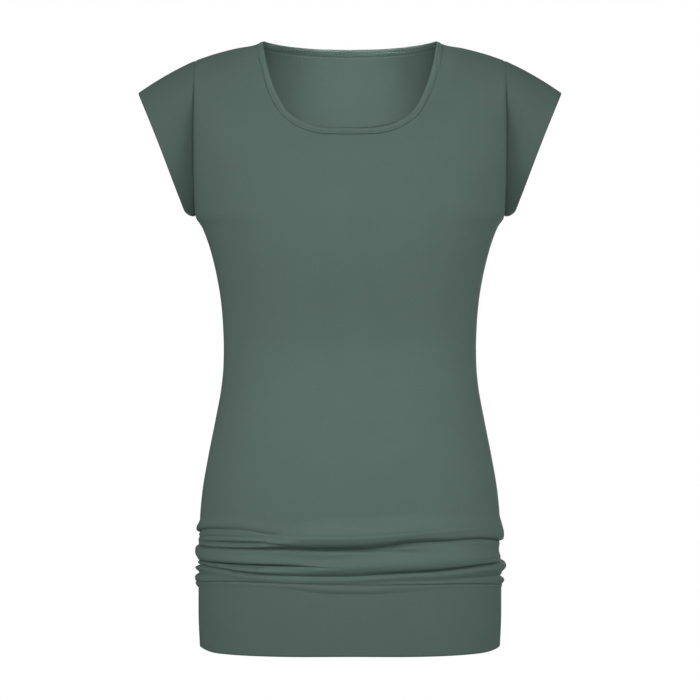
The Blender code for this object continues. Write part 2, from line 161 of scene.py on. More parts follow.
# Folds above the hem band, top to bottom. Each value is the same all round, or rows of
# (place round the body, value). Over and under a crease the cloth rolls out by so much and
# reaches so far; the nose is how slowly the upper roll turns under, and the sag how far it
# hangs down as a share of how far it stands out. A crease is cut in by so much. What a fold
# doesn't name is as in plainFold.
plainFold = {
    "over": 0, "overReach": 5, "nose": 2, "sag": 0,
    "under": 0, "underReach": 5, "cut": 0, "cutWidth": 2,
}
folds = {
    "upper": {
        "drop": (
            (0, 538.5), (0.27, 534), (0.69, 530), (0.95, 530), (1.31, 534.6), (1.9, 536),
            (2.37, 533.4), (3, 528), (4, 523), (5, 522), (6, 528), (7, 536),
        ),
        "over": (
            (0, 4.1), (0.27, 3), (0.69, 2), (1.1, 1.2), (1.9, 0.9), (2.4, 0.8), (3, 0.1),
            (4, 0), (5, 0.8), (6, 2.2), (7, 3.4),
        ),
        "overReach": ((0, 12), (0.6, 13), (1, 14), (6, 14), (7, 13)),
        "nose": ((0, 1.4), (0.69, 1.8), (1.1, 2.5), (2.4, 3), (6, 2.5), (7, 2)),
        "sag": 0.3,
        "under": 0.2,
        "cut": ((0, 2.4), (0.3, 1.4), (1.1, 0.6), (2.4, 0.2), (3.2, 0), (4, 0), (6, 0.8), (7, 1.5)),
        "cutWidth": 1.6,
    },
    "lowUpper": {
        "drop": ((0, 543), (0.38, 540), (0.75, 538), (0.97, 537.8), (2, 541), (7, 541)),
        "over": ((0, 0.3), (0.4, 0.7), (0.9, 0.5), (1.2, 0), (7, 0), (7.6, 0.5)),
        "nose": 1.2,
        "sag": 0.2,
        "under": ((0, 0.4), (0.4, 0.7), (0.9, 0.4), (1.2, 0), (7, 0), (7.6, 0.5)),
        "underReach": 4,
        "cut": ((0, 0.3), (0.4, 0.6), (0.9, 0.5), (1.2, 0), (7, 0), (7.6, 0.5)),
        "cutWidth": 1.6,
    },
    "ledge": {
        "drop": (
            (0, 548.5), (0.37, 546.5), (0.92, 543.9), (1.23, 543.9), (1.5, 546.5), (4, 546),
            (7.4, 546),
        ),
        "over": ((0, 0.2), (0.37, 1.3), (0.92, 2.1), (1.3, 2), (1.6, 0), (7.4, 0), (7.8, 0.4)),
        "overReach": 7,
        "nose": 2.2,
        "sag": 0.1,
        "under": ((0, 0), (0.37, 0.7), (1.2, 0.7), (1.5, 0), (7.4, 0)),
        "underReach": 4,
        "cut": ((0, 0.2), (0.37, 0.7), (0.9, 1.4), (1.2, 2), (1.55, 0), (7.4, 0)),
        "cutWidth": 1.8,
    },
    "main": {
        "drop": (
            (0, 551.6), (0.37, 551.5), (0.79, 550.6), (1.16, 550), (1.38, 549), (1.81, 549.6),
            (2.14, 549.2), (2.37, 546.4), (2.54, 543.2), (2.74, 542.1), (2.9, 541.8), (3.12, 540.6),
            (3.24, 540.4), (3.48, 542.6), (3.7, 545.8), (4, 546.7), (5, 546), (6, 544), (7, 549),
        ),
        "over": (
            (0, 0.9), (0.37, 1), (0.79, 1.8), (1.16, 3.6), (1.4, 7), (1.6, 9), (1.81, 10),
            (2.14, 9.8), (2.37, 9), (2.6, 6.6), (3, 3.8), (3.5, 3.6), (4, 4.4), (5, 4.6), (6, 7),
            (7, 3.8),
        ),
        "overReach": (
            (0, 9), (0.8, 5.5), (1.16, 8), (1.5, 26), (1.8, 34), (2.5, 34), (3.5, 28), (4, 30),
            (5, 28), (6, 30), (7, 16),
        ),
        "nose": (
            (0, 1.2), (0.8, 1.4), (1.2, 2.4), (1.5, 4.2), (1.81, 4.6), (2.14, 5), (2.5, 3.4),
            (2.8, 3), (3.2, 2.2), (4, 2), (5, 3), (6, 4.6), (7, 2.6),
        ),
        "sag": ((0, 0.3), (1.2, 0.1), (1.8, 0), (2.5, 0), (3, 0.2), (4, 0.4), (6, 0)),
        "under": (
            (0, 4.6), (0.37, 3.2), (0.79, 2.2), (1.3, 1.4), (2, 1.2), (2.6, 0.8), (3.4, 0.3),
            (4, 0), (5, 1.2), (6, 1), (7, 3),
        ),
        "underReach": ((0, 15), (0.4, 15), (1, 14), (6, 14), (7, 15)),
        "cut": (
            (0, 2), (0.37, 1.4), (1, 1.6), (1.4, 2.8), (1.81, 3.6), (2.14, 2.6), (2.5, 2),
            (3, 1.6), (3.5, 1.5), (4, 1), (5, 1.4), (6, 2.2), (7, 1.6),
        ),
        "cutWidth": (
            (0, 1.5), (1.3, 1.8), (1.9, 2.1), (2.3, 3.2), (2.7, 3.2), (3.1, 2), (4, 1.6), (6, 2.2),
        ),
    },
    "branch": {
        "drop": ((0, 552), (2, 549.5), (2.4, 552), (2.75, 553), (3, 553)),
        "over": ((0, 0), (1.9, 0), (2.3, 1), (2.6, 0.7), (2.85, 0)),
        "overReach": 6,
        "nose": 2.5,
        "cut": ((0, 0), (1.9, 0), (2.25, 1.4), (2.6, 1), (2.85, 0)),
        "cutWidth": 3,
    },
    "second": {
        "drop": (
            (0, 568.7), (0.38, 566.7), (0.7, 566.1), (1.24, 566.2), (1.65, 568), (1.85, 569.2),
            (3, 566), (4, 562), (5, 560), (6, 564), (7, 569),
        ),
        "over": (
            (0, 0.8), (0.38, 1.8), (0.7, 3), (1.24, 3.8), (1.48, 2.6), (1.7, 1.2), (2, 0),
            (4.6, 0), (6, 1.6), (7, 2.6),
        ),
        "overReach": 11,
        "nose": 1.3,
        "sag": 0.45,
        "under": (
            (0, 1.4), (0.38, 1.2), (0.9, 1.2), (1.4, 0.8), (1.9, 0), (4.6, 0), (6, 0.8), (7, 1.8),
        ),
        "cut": (
            (0, 1), (0.38, 1.6), (0.7, 3), (1.24, 3.6), (1.48, 2.2), (1.7, 1), (2, 0), (4.6, 0),
            (6, 1.4), (7, 1.8),
        ),
        "cutWidth": 1.1,
    },
    "third": {
        "drop": (
            (0, 574), (0.39, 571.5), (0.7, 572.6), (0.93, 575.2), (1.2, 577.2), (1.42, 577.8),
            (1.68, 578.3), (1.95, 578.2), (2.14, 577.2), (2.37, 575.3), (2.6, 573.9), (2.78, 572.9),
            (2.98, 571.3), (3.14, 569.9), (3.33, 568.6), (4, 568.6), (5, 572), (6, 577), (7, 580),
        ),
        "over": (
            (0, 0), (0.39, 0.6), (0.93, 2.8), (1.2, 3.2), (1.5, 2.6), (1.85, 8), (2.1, 8),
            (2.37, 6.2), (2.6, 5.8), (3, 5.4), (3.33, 3.2), (3.68, 1.2), (4, 0.2), (5, 2.6), (6, 5),
            (7, 2),
        ),
        "overReach": (
            (0, 4), (0.7, 4.5), (1.2, 8), (1.7, 18), (2.2, 24), (3, 26), (3.6, 14), (4, 10),
            (5, 14), (6, 11), (7, 9),
        ),
        "nose": (
            (0, 1.2), (0.7, 1.4), (0.93, 3), (1.2, 3.2), (1.5, 2.6), (1.9, 9), (2.15, 8),
            (2.4, 4.6), (3, 3.6), (3.3, 1.8), (4, 1.2), (6, 3.4),
        ),
        "sag": ((0, 0.3), (1, 0), (2.2, 0), (3, 0.15), (3.4, 0.4), (6, 0.2)),
        "under": (
            (0, 4.6), (0.39, 2.4), (0.8, 1.2), (1.4, 1.2), (2.2, 1.6), (2.8, 2.2), (3.2, 3.2),
            (3.6, 4.8), (4, 6), (5, 3.6), (6, 2), (7, 2.6),
        ),
        "underReach": ((0, 7.5), (1, 8), (2.2, 9), (3, 12), (4, 14), (5, 12), (6, 9), (7, 8)),
        "cut": (
            (0, 1.6), (0.5, 1.2), (1.1, 2.2), (1.4, 1.2), (2.1, 0.9), (2.37, 2), (2.6, 2.8), (3, 3),
            (3.14, 3.6), (3.4, 3), (3.7, 1.8), (4, 1), (5, 1.6), (6, 2.2), (7, 1.4),
        ),
        "cutWidth": (
            (0, 1.3), (0.9, 1.9), (1.3, 1.9), (1.7, 2.6), (2.2, 2.2), (2.6, 1.5), (4, 1.3),
        ),
    },
    "side": {
        "drop": (
            (0, 582.5), (0.5, 581.5), (3.15, 581.8), (3.42, 582), (3.63, 583), (4, 586.3), (5, 584),
            (7, 586),
        ),
        "over": ((0, 0.6), (0.45, 0), (3, 0), (3.4, 0.6), (4, 0.4), (5, 0.8), (6, 0), (7.2, 0.5)),
        "nose": 1.2,
        "sag": 0.2,
        "under": (
            (0, 3), (0.45, 0.3), (0.7, 0), (3, 0), (3.4, 0.8), (4, 3.2), (5, 0.8), (6, 0), (7.2, 1),
        ),
        "underReach": 8,
        "cut": (
            (0, 2.4), (0.3, 0.9), (0.55, 0), (2.9, 0), (3.3, 1), (3.7, 1.6), (4, 3.2), (4.4, 1.4),
            (5, 0.6), (6, 0), (7.6, 1),
        ),
        "cutWidth": 1.5,
    },
    # the cloth lies hollow between the two rolls at the right side
    "rightHollow": {
        "drop": 556,
        "cut": ((0, 0), (3.1, 0), (3.6, 1.2), (4, 2.2), (4.5, 1), (5, 0)),
        "cutWidth": 8,
    },
    "rightUpper": {
        "drop": ((0, 566), (3.1, 562.5), (3.4, 561.7), (3.61, 563.6), (4, 565), (5, 566)),
        "over": ((0, 0), (3.1, 0), (3.4, 0.5), (3.8, 0.5), (4.2, 0)),
        "nose": 1.4,
        "sag": 0.2,
        "cut": ((0, 0), (3.1, 0), (3.45, 0.8), (3.8, 0.6), (4.2, 0)),
        "cutWidth": 1.4,
    },
    "band": {
        "drop": (
            (0, 598.5), (0.5, 593), (1, 590.5), (1.44, 592), (1.8, 596.5), (2.14, 597), (2.5, 595),
            (3, 592), (3.6, 595.5), (4, 598), (5, 598), (6, 595), (7, 597),
        ),
        "over": (
            (0, 4.4), (0.25, 2.6), (0.5, 1), (1, 0.5), (1.4, 1.4), (1.8, 2.4), (2.2, 2.4),
            (2.55, 1.2), (2.9, 0.5), (3.5, 0.7), (3.8, 1.6), (4, 2.8), (4.3, 1.6), (5, 1),
            (6, 2.2), (7, 1.4), (7.7, 3),
        ),
        "overReach": ((0, 15), (1, 8), (2, 12), (3, 9), (4, 11), (5, 10), (6, 12), (7, 12)),
        "nose": ((0, 2.6), (0.5, 3), (1.8, 4), (3, 4), (4, 2.2), (5, 3), (6, 4), (7, 3)),
    },
}
# (place round the body, drop) of the hem's edge and of the seam over the band
hemRows = (
    (0, 663), (0.3, 662), (0.7, 664), (1.3, 664), (2, 663.5), (2.7, 664), (3.3, 663.6),
    (3.7, 661.8), (4, 663), (5, 663.5), (6, 663.5), (7, 663.5),
)
bandSeamRows = (
    (0, 592), (1, 585.5), (2, 587.5), (3, 588), (4, 595), (5, 591), (6, 588), (7, 590),
)
foldForm = {
    # share of a roll's reach that stays full, above and below its crease
    "plateau": ((0, 0.5), (0.6, 0.36), (1.2, 0.3), (4, 0.3), (6, 0.3), (7, 0.4)),
    "underPlateau": 0.4,
    "underNose": 1.4,
}
foldCurves = {
    name: {key: roundCurve(rows) for key, rows in {**plainFold, **fold}.items()}
    for name, fold in folds.items()
}
bandSeamDrop = roundCurve(bandSeamRows)
hemDrop = roundCurve(hemRows)


# points that a line is worked out through before it is spaced evenly
fineCounts = {"section": 4001, "hem": 2001, "neck": 3000, "chest": 1500}


def sideCurve(share):
    # across and depth of a body section as shares of its sizes, evenly spaced along it
    angle = np.linspace(-math.pi / 2, math.pi / 2, fineCounts["section"])
    across = np.sign(angle) * np.abs(np.sin(angle)) ** (2 / square)
    depth = np.abs(np.cos(angle)) ** (2 / square)
    hem = body["hemDrop"]
    line = np.stack([across * halfWidth(hem), depth * depths[-1](hem)], axis=1)
    length = lengthsAlong(line, 0)
    wanted = (np.asarray(share) + 1) / 2 * length[-1]
    return np.interp(wanted, length, across), np.interp(wanted, length, depth)


def placeRound(side, share):
    return 2 + 2 * share if side < 0 else 6 - 2 * share


def roll(above, reach, nose, plateau):
    # form of rolled cloth: up round its nose beside the crease, level, then away to nothing
    share = np.clip(above / reach, 0, 1)
    return (1 - np.exp(-share * reach / nose)) * (1 - smoothStep(plateau, 1, share))


def foldPush(place, drop):
    # how far the folds push the cloth out, and how far they let it sag
    out = np.zeros_like(drop)
    sag = np.zeros_like(drop)
    plateau = roundCurve(foldForm["plateau"])(place)
    for fold in foldCurves.values():
        here = {key: np.maximum(read(place), 0) for key, read in fold.items()}
        above = here["drop"] - drop
        over = here["over"] * roll(above, here["overReach"], here["nose"], plateau)
        under = here["under"] * roll(
            -above, here["underReach"], foldForm["underNose"], foldForm["underPlateau"]
        )
        out += over + under - here["cut"] * np.exp(-((above / here["cutWidth"]) ** 2))
        sag += here["sag"] * over
    return out, sag


def sectionFacing(side, share, drop):
    # way out of the body's section, level
    across, depth = sideCurve(share)
    x = np.sign(across) * np.abs(across) ** (square - 1) / halfWidth(drop)
    y = side * depth ** (square - 1) / depths[side](drop)
    return unit(np.stack([x, y, 0 * x], axis=-1))


def bodyPoints(side, share, drop):
    # points of the body below the underarm, one row for each row of drops
    across, depth = sideCurve(share)
    out, sag = foldPush(placeRound(side, share), drop)
    facing = sectionFacing(side, share, drop)
    x = halfWidth(drop) * across + out * facing[..., 0]
    y = side * depths[side](drop) * depth + out * facing[..., 1]
    return np.stack([x, y, -drop - sag], axis=-1)


def armholeOuter(side, drop):
    height = np.clip((drop - armholeMiddle) / armholeHalf, -1, 1)
    return armholeReach[side] * (1 - height**2) ** body["armholeRound"]


def rollIn(drop):
    return body["rollIn"] * smoothStep(body["rollFromDrop"], body["rollFullDrop"], drop)


def armholeDepth(side, drop):
    return armholeOuter(side, drop) * (1 - rollIn(drop))


def shoulderRound(x, drop):
    # share of the depth that is left as the cloth rounds over to the shoulder seam
    top = body["shoulderRoundDrop"]
    rise = (top - drop) / (top - ridgeDrop(np.abs(x)))
    return np.sqrt(1 - np.clip(rise, 0, 1) ** body["shoulderRoundPower"])


def chestDepth(side, x, drop):
    # depth of the front or the back above the underarm
    deep = depths[side](drop)
    level = np.maximum(drop, shoulderDrop + 1)  # below the very top, where the depth is 0
    atArmhole = depths[side](level) * shoulderRound(armholeX, level)
    filled = np.clip(armholeOuter(side, level) / atArmhole, 0, body["armholeMost"])
    width = armholeX / (1 - filled**square) ** (1 / square)
    across = np.clip(np.abs(x) / width, 0, 1)
    depth = deep * (1 - across**square) ** (1 / square) * shoulderRound(x, drop)
    nearEdge = np.clip(1 - (armholeX - np.abs(x)) / body["rollRadius"], 0, 1)
    return depth - armholeOuter(side, drop) * rollIn(drop) * (1 - np.sqrt(1 - nearEdge**2))


def neckLine(side, count):
    # half of the neck seam, from the shoulder seam to the middle, evenly spaced
    rows = np.array(body["frontNeck" if side < 0 else "backNeck"], float)
    knots = np.arange(len(rows))
    fine = np.linspace(0, len(rows) - 1, fineCounts["neck"])
    x = smoothCurve(list(zip(knots, rows[:, 0])))(fine)
    drop = smoothCurve(list(zip(knots, rows[:, 1])))(fine)
    points = np.stack([x, side * chestDepth(side, x, drop), drop], axis=1)
    length = lengthsAlong(points, 0)
    wanted = np.linspace(0, length[-1], count)
    return np.interp(wanted, length, x), np.interp(wanted, length, drop)


grid = {
    "sideColumns": 26,  # from the side seam or the armhole to below the neck's corner
    "middleColumns": 52,  # from there to the middle
    "sideLength": 80.0,  # length of the first of these at the hem
    "sideSpread": 0.12,  # less crowds the columns more at the side
    "endSpread": 0.45,  # less crowds the rows more beside a crease
    "evenFrom": 0.35,  # share of the way up the chest from where columns are spaced evenly
    # rows from the seam to the third crease, to the main, to the upper, to the top of the folds
    "foldRows": (34, 60, 40, 14),
    "foldTop": 505.0,
    "plainStep": 4.0,
    "chestRows": 72,
    "bandRows": (22, 14, 18),
}


def crowded(count):
    # shares from 0 to 1 that start close together
    t = np.linspace(0, 1, count + 1)
    return grid["sideSpread"] * t + (1 - grid["sideSpread"]) * t**2


def endsClose(count):
    # shares after 0 up to 1 that lie closer together at both ends
    t = np.arange(1, count + 1) / count
    even = grid["endSpread"]
    return even * t + (1 - even) * (0.5 - 0.5 * np.cos(math.pi * t))


def halfShares():
    # where a panel's columns lie from the left side to the middle, below the underarm
    corner = -1 + grid["sideLength"] / hemHalfLength
    first = -1 + (corner + 1) * crowded(grid["sideColumns"])
    return first, np.linspace(corner, 0, grid["middleColumns"] + 1)


hemRing = np.stack(sideCurve(np.linspace(-1, 0, fineCounts["hem"])), axis=1)
hemSize = (halfWidth(body["hemDrop"]), depths[-1](body["hemDrop"]))
hemHalfLength = lengthsAlong(hemRing * hemSize, 0)[-1]
columnShares = np.concatenate([halfShares()[0], halfShares()[1][1:]])
columnShares = np.concatenate([columnShares, -columnShares[-2::-1]])


def foldZoneDrops(side):
    # rows that follow the main creases up from the band seam
    place = placeRound(side, columnShares)
    levels = [bandSeamDrop(place) - body["seamGap"] / 2]
    levels += [foldCurves[name]["drop"](place) for name in ("third", "main", "upper")]
    levels.append(np.full_like(place, grid["foldTop"]))
    rows = [levels[0]]
    for lower, higher, count in zip(levels, levels[1:], grid["foldRows"]):
        rows += [lower + (higher - lower) * share for share in endsClose(count)]
    count = round((grid["foldTop"] - underarmDrop) / grid["plainStep"])
    plain = np.linspace(grid["foldTop"], underarmDrop, count + 1)[1:-1]
    return np.array(rows + [np.full_like(place, drop) for drop in plain])


def chestHalf(side):
    # rows from the underarm to the shoulder and neck seams, left half, spaced by their length
    dense = np.linspace(0, 1, fineCounts["chest"])
    first, second = halfShares()
    neckX, neckDrop = neckLine(side, fineCounts["chest"])
    shoulderX = armholeX + (neckCorner - armholeX) * dense
    segments = (
        (first, crowded(grid["sideColumns"]), shoulderX, ridgeDrop(shoulderX)),
        (second, np.linspace(0, 1, grid["middleColumns"] + 1), neckX, neckDrop),
    )
    rises = 1 - (1 - np.linspace(0, 1, grid["chestRows"])) ** 2
    rows = []
    for rise in rises:
        row = []
        for shares, even, topX, topDrop in segments:
            fine = shares[0] + (shares[-1] - shares[0]) * dense
            lowX = -sideCurve(fine)[0] * armholeX
            x = lowX + (topX - lowX) * rise
            drop = underarmDrop + (topDrop - underarmDrop) * rise
            points = np.stack([-x, side * chestDepth(side, x, drop), -drop], axis=1)
            length = lengthsAlong(points, 0)
            length = length / length[-1]
            lowDepth = chestDepth(side, lowX, np.full_like(lowX, underarmDrop))
            lowLength = lengthsAlong(np.stack([lowX, lowDepth], axis=1), 0)
            own = np.interp(shares, fine, lowLength / lowLength[-1])
            wanted = own + (even - own) * smoothStep(0, grid["evenFrom"], rise)
            row.append(
                np.stack([np.interp(wanted, length, points[:, k]) for k in range(3)], axis=1)
            )
        rows.append(np.concatenate([row[0], row[1][1:]]))
    return np.array(rows)


def mirrored(half):
    return np.concatenate([half, half[:, -2::-1] * (-1, 1, 1)], axis=1)


def clothFacing(points, closed=False):
    # directions out of a sheet of points, from its neighbours
    if closed:
        points = np.concatenate([points[:, -1:], points, points[:, :1]], axis=1)
    facing = unit(np.cross(np.gradient(points, axis=1), np.gradient(points, axis=0)))
    return facing[:, 1:-1] if closed else facing


def dipAlong(points, facing, distance, depth, width):
    # turns the cloth's edge in towards its seam
    return points - facing * (depth * np.exp(-((distance / width) ** 2)))[..., None]


def clothUv(points, closed=False):
    # metres of cloth across and up, for patterns that follow it
    if closed:
        points = np.concatenate([points, points[:, :1]], axis=1)
    across = lengthsAlong(points, 1)
    across = across - across[:, across.shape[1] // 2 : across.shape[1] // 2 + 1]
    return np.stack([across, lengthsAlong(points, 0)], axis=-1) * mm


def addToScene(name, data):
    made = bpy.data.objects.new(name, data)
    bpy.context.scene.collection.objects.link(made)
    return made


def addObject(name, mesh, material):
    mesh.materials.clear()
    mesh.materials.append(material)
    return addToScene(name, mesh)


def gridFaces(rows, columns):
    # the row and the column of each corner of a grid's faces
    i, j = np.meshgrid(np.arange(rows), np.arange(columns), indexing="ij")
    corners = [(i, j), (i, j + 1), (i + 1, j + 1), (i + 1, j)]
    return [np.stack([corner[k].ravel() for corner in corners], axis=1) for k in (0, 1)]


def clothMesh(name, points, faces, faceUvs):
    # a mesh whose faces look outward, with the cloth's own sizes as its UV
    corner = points[faces]
    volume = np.sum(np.cross(corner[:, 0], corner[:, 1]) * corner[:, 2])
    volume += np.sum(np.cross(corner[:, 0], corner[:, 2]) * corner[:, 3])
    if volume < 0:
        faces, faceUvs = faces[:, ::-1], faceUvs[:, ::-1]
    mesh = bpy.data.meshes.new(name)
    mesh.from_pydata((points * mm).tolist(), [], faces.tolist())
    mesh.uv_layers.new(name="cloth").data.foreach_set("uv", faceUvs.reshape(-1).astype(np.float32))
    return mesh


sharpFrom = 60  # edges that turn by more degrees show as edges


def buildCloth(name, outer, outward, thickness, material, closed=False, endLip=False):
    # a wall from a sheet of points, with a rounded lip at its free edge; outward is +1 or -1
    facing = clothFacing(outer, closed) * outward
    inner = outer - facing * thickness
    uv = clothUv(outer, closed)
    rows, columns = outer.shape[:2]
    layers, uvs = [outer], [uv]
    if endLip:
        lip = (outer[-1] + inner[-1]) / 2 + unit(outer[-1] - outer[-2]) * thickness / 2
        layers.append(lip[None])
        uvs.append(uv[-1:])
    points = np.concatenate([*layers, inner[::-1]])
    uvs = np.concatenate([*uvs, uv[::-1]])
    count = len(points)
    i, j = gridFaces(count, columns if closed else columns - 1)
    if not closed:
        a = np.arange(rows - 1)
        b = (rows - 1 - a) + rows + int(endLip)  # the same row on the inner side
        last = np.full_like(a, columns - 1)
        first, second = (a, a + 1, b - 1, b), (a + 1, a, b, b - 1)
        i = np.concatenate([i, np.stack(first, 1), np.stack(second, 1)])
        j = np.concatenate([j, np.stack([0 * a] * 4, 1), np.stack([last] * 4, 1)])
    faces = (i % count) * columns + j % columns
    mesh = clothMesh(name, points.reshape(-1, 3), faces, uvs[i % count, j])
    if endLip and not closed:
        closeLips(mesh)
    mesh.shade_smooth()
    mesh.set_sharp_from_angle(angle=math.radians(sharpFrom))
    return addObject(name, mesh, material)


def closeLips(mesh):
    # fills the small triangles where a lip meets a side edge
    work = bmesh.new()
    work.from_mesh(mesh)
    bmesh.ops.holes_fill(work, edges=[edge for edge in work.edges if edge.is_boundary], sides=4)
    work.to_mesh(mesh)
    work.free()


class Value:
    # a socket that can be added, multiplied and so on
    def __init__(self, nodes, socket):
        self.nodes = nodes
        self.socket = socket

    def math(self, operation, *others):
        inputs = dict(enumerate((self, *others)))
        return self.nodes.add("ShaderNodeMath", {"operation": operation}, inputs)

    def reflected(self, operation, other):
        return self.nodes.add("ShaderNodeMath", {"operation": operation}, {0: other, 1: self})

    def __add__(self, other):
        return self.math("ADD", other)

    def __sub__(self, other):
        return self.math("SUBTRACT", other)

    def __rsub__(self, other):
        return self.reflected("SUBTRACT", other)

    def __mul__(self, other):
        return self.math("MULTIPLY", other)

    def __truediv__(self, other):
        return self.math("DIVIDE", other)

    def __pow__(self, other):
        return self.math("POWER", other)

    __radd__ = __add__
    __rmul__ = __mul__


class Nodes:
    # adds nodes to a tree: settings first, then values or links for its sockets
    def __init__(self, tree):
        self.tree = tree

    def add(self, kind, settings=None, inputs=None, output=0):
        node = self.tree.nodes.new(kind)
        for key, value in (settings or {}).items():
            setattr(node, key, value)
        for key, value in (inputs or {}).items():
            if isinstance(value, Value):
                self.tree.links.new(value.socket, node.inputs[key])
            else:
                node.inputs[key].default_value = value
        return Value(self, node.outputs[output])

    def link(self, value, node, key):
        self.tree.links.new(value.socket, node.inputs[key])


jersey = {
    "colour": (0.0976, 0.150, 0.130),
    "bandPaintedShade": 0.95,  # painted shade: the band is darkened, as less light reaches it low on the body
    "bindingPaintedLight": 1.06,  # painted light: the binding is lightened, to look as light as the chest
    "sleevePaintedShade": 0.93,  # painted shade: the sleeves are darkened, as less light reaches them than the chest
    "inputs": {
        "Roughness": 0.82,
        "Specular IOR Level": 0.25,
        "Sheen Weight": 0.12,
        "Sheen Roughness": 0.45,
    },
    "sheenTint": 4,  # how much lighter than the colour the sheen is
    "wale": 0.00055,  # width of one column of loops, in metres
    "course": 0.00048,  # height of one row of loops
    "legSlant": 0.6,  # how far a loop's legs slant, in courses
    "loopHeight": 0.00005,
    # painted shade in the gaps between the knit's loops
    "loopGapPaintedShade": 0.10,
    "mottle": 0.1,
    "mottleScale": 28.0,
    "mottleDetail": 4,
    "mottleRoughness": 0.55,
}


def newMaterial(name):
    material = bpy.data.materials.new(name)
    material.use_nodes = True
    return material, Nodes(material.node_tree), material.node_tree.nodes["Principled BSDF"]


def setInputs(node, values):
    for key, value in values.items():
        node.inputs[key].default_value = value


def mottle(nodes, look):
    # a faint unevenness of tone that lies still on the cloth
    place = nodes.add("ShaderNodeTexCoord", {}, {}, output=3)
    noise = nodes.add(
        "ShaderNodeTexNoise",
        {},
        {
            "Vector": place,
            "Scale": look["mottleScale"],
            "Detail": look["mottleDetail"],
            "Roughness": look["mottleRoughness"],
        },
    )
    return 1 + (noise - 0.5) * look["mottle"]


def toned(nodes, shade, tone):
    # shade scales the jersey's colour: painted shade on the sleeves and band, painted light on the
    # binding, the thread's own lighter colour on the stitches
    colour = tuple(part * shade for part in jersey["colour"])
    return nodes.add("ShaderNodeVectorMath", {"operation": "SCALE"}, {0: colour, "Scale": tone})


def jerseyMaterial(name, shade, turned=False):
    material, nodes, shader = newMaterial(name)
    uv = nodes.add("ShaderNodeUVMap", {"uv_map": "cloth"})
    u = nodes.add("ShaderNodeSeparateXYZ", {}, {0: uv}, output=1 if turned else 0)
    v = nodes.add("ShaderNodeSeparateXYZ", {}, {0: uv}, output=0 if turned else 1)
    # V-shaped loops in upright columns: two slanting legs to each
    leg = ((u / jersey["wale"]).math("FRACT") - 0.5).math("ABSOLUTE") * 2
    row = (v / jersey["course"] + leg * jersey["legSlant"]).math("FRACT") * 2 - 1
    loops = (1 - row**2) * (1 - leg**4)
    # painted shade: the colour is darker in the gaps between the loops, where the bump sinks; the
    # mottle is the cloth's own uneven tone
    tone = (1 - jersey["loopGapPaintedShade"] + loops * jersey["loopGapPaintedShade"]) * mottle(nodes, jersey)
    bump = nodes.add(
        "ShaderNodeBump", {}, {"Strength": 1.0, "Distance": jersey["loopHeight"], "Height": loops}
    )
    nodes.link(toned(nodes, shade, tone), shader, "Base Color")
    nodes.link(bump, shader, "Normal")
    tint = (min(1, part * jersey["sheenTint"]) for part in jersey["colour"])
    setInputs(shader, {**jersey["inputs"], "Sheen Tint": (*tint, 1)})
    return material


panelJersey = jerseyMaterial("jersey", 1.0)
# painted shade: a darker copy of the jersey for the sleeves
sleevePaintedShadeJersey = jerseyMaterial("sleevePaintedShadeJersey", jersey["sleevePaintedShade"])
# painted shade: a darker copy of the jersey for the hem band
bandPaintedShadeJersey = jerseyMaterial("bandPaintedShadeJersey", jersey["bandPaintedShade"])
# painted light: a lighter copy of the jersey for the neck binding
bindingPaintedLightJersey = jerseyMaterial("bindingPaintedLightJersey", jersey["bindingPaintedLight"], turned=True)
print("materials made")

panel = {
    "thickness": 1.0,
    "sideDip": 0.6,
    "topDip": 0.7,
    "bandDip": 1.3,
    "dipWidth": 1.1,
    # flat width and length in metres, and area
    "frontCut": ((0.50, 0.72), 0.26),
    "backCut": ((0.50, 0.74), 0.27),
}


def pressEdges(points, side, sizes, startDip, endDip):
    # turns the edges of a panel in to its seams, and sets it half a gap off the side seams
    outward = 1 if np.sum(clothFacing(points)[:, :, 1] * side) > 0 else -1
    facing = clothFacing(points) * outward
    across, along = lengthsAlong(points, 1), lengthsAlong(points, 0)
    toSide = np.minimum(across, across[:, -1:] - across)
    points = dipAlong(points, facing, toSide, sizes["sideDip"], sizes["dipWidth"])
    points = dipAlong(points, facing, along[-1:] - along, endDip, sizes["dipWidth"])
    points = dipAlong(points, facing, along, startDip, sizes["dipWidth"])
    points[..., 1] += side * body["seamGap"] / 2
    return points, outward


def buildPanel(name, side):
    lower = bodyPoints(side, columnShares, foldZoneDrops(side))
    points = np.concatenate([lower, mirrored(chestHalf(side))])
    points, outward = pressEdges(points, side, panel, panel["bandDip"], panel["topDip"])
    return buildCloth(name, points, outward, panel["thickness"], panelJersey)


frontCloth = buildPanel("frontCloth", -1)
backCloth = buildPanel("backCloth", 1)
print("front and back made")

hemBand = {
    "thickness": 1.8,
    "swellBelow": 14.0,  # how far the finer rows go on below the swell under the seam
    "topDip": 1.2,
    "sideDip": 0.6,
    "dipWidth": 1.1,
    "cut": ((0.47, 0.08), 0.0365),
}


def buildBand(name, side):
    place = placeRound(side, columnShares)
    levels = [bandSeamDrop(place) + body["seamGap"] / 2, foldCurves["band"]["drop"](place)]
    levels += [levels[1] + hemBand["swellBelow"], hemDrop(place) - hemBand["thickness"] / 2]
    rows = [levels[0]]
    for upper, lower, count in zip(levels, levels[1:], grid["bandRows"]):
        rows += [upper + (lower - upper) * share for share in endsClose(count)]
    points = bodyPoints(side, columnShares, np.array(rows))
    points, outward = pressEdges(points, side, hemBand, hemBand["topDip"], 0)
    return buildCloth(name, points, outward, hemBand["thickness"], bandPaintedShadeJersey, endLip=True)


bandFront = buildBand("hemBandFrontCloth", -1)
bandBack = buildBand("hemBandBackCloth", 1)
print("hem band made")

sleeve = {
    "cuffTop": (232.2, 55.6),  # distance from the middle, drop
    "cuffBottom": (181.5, 186.5),
    "cuffFront": 49.0,
    "cuffBack": 47.0,
    "cuffBow": 2.5,  # how far the middle of the cuff's edge curves back to the body
    "fullness": 2.0,  # how far the cloth stands out halfway to the cuff
    "thickness": 1.2,
    "seamDip": 0.8,
    "dipWidth": 1.4,
    "columns": 160,
    "rows": 44,
    "cut": ((0.43, 0.07), 0.0165),
}


